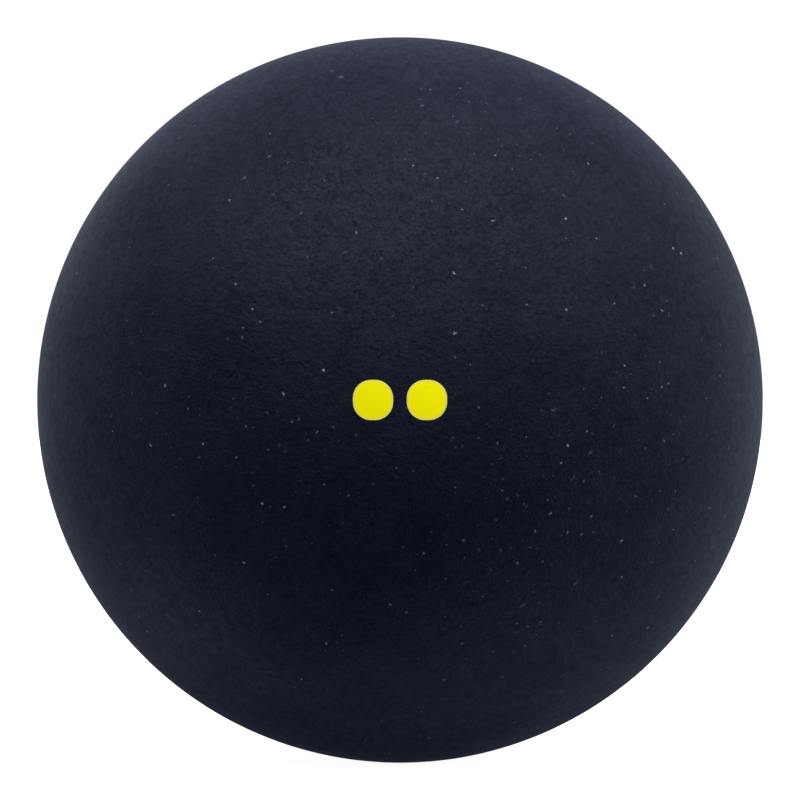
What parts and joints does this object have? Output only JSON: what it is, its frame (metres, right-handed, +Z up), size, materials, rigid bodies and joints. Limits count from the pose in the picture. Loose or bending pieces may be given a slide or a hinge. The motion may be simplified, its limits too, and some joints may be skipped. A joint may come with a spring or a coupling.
{
  "type": "squash ball",
  "caption": "Hollow matte black rubber ball, moulded as half shells bonded rim to rim, with small yellow speed dots printed on its front, for play against a court wall.",
  "frame": {"origin": "centre of the ball", "axes": "+Z up as the ball lies in the picture; the printed dots face -Y and stand side by side along X; the bonded seam lies in the XZ plane"},
  "size_m": [0.04, 0.04, 0.04],
  "materials": {
    "black_rubber": "matte",
    "rubber_cement": "satin",
    "yellow_ink": "matte"
  },
  "bodies": {
    "root": {"front_half_shell": "black_rubber", "rear_half_shell": "black_rubber", "seam_cement_ring": "rubber_cement", "left_dot": "yellow_ink", "right_dot": "yellow_ink"}
  },
  "joints": []
}
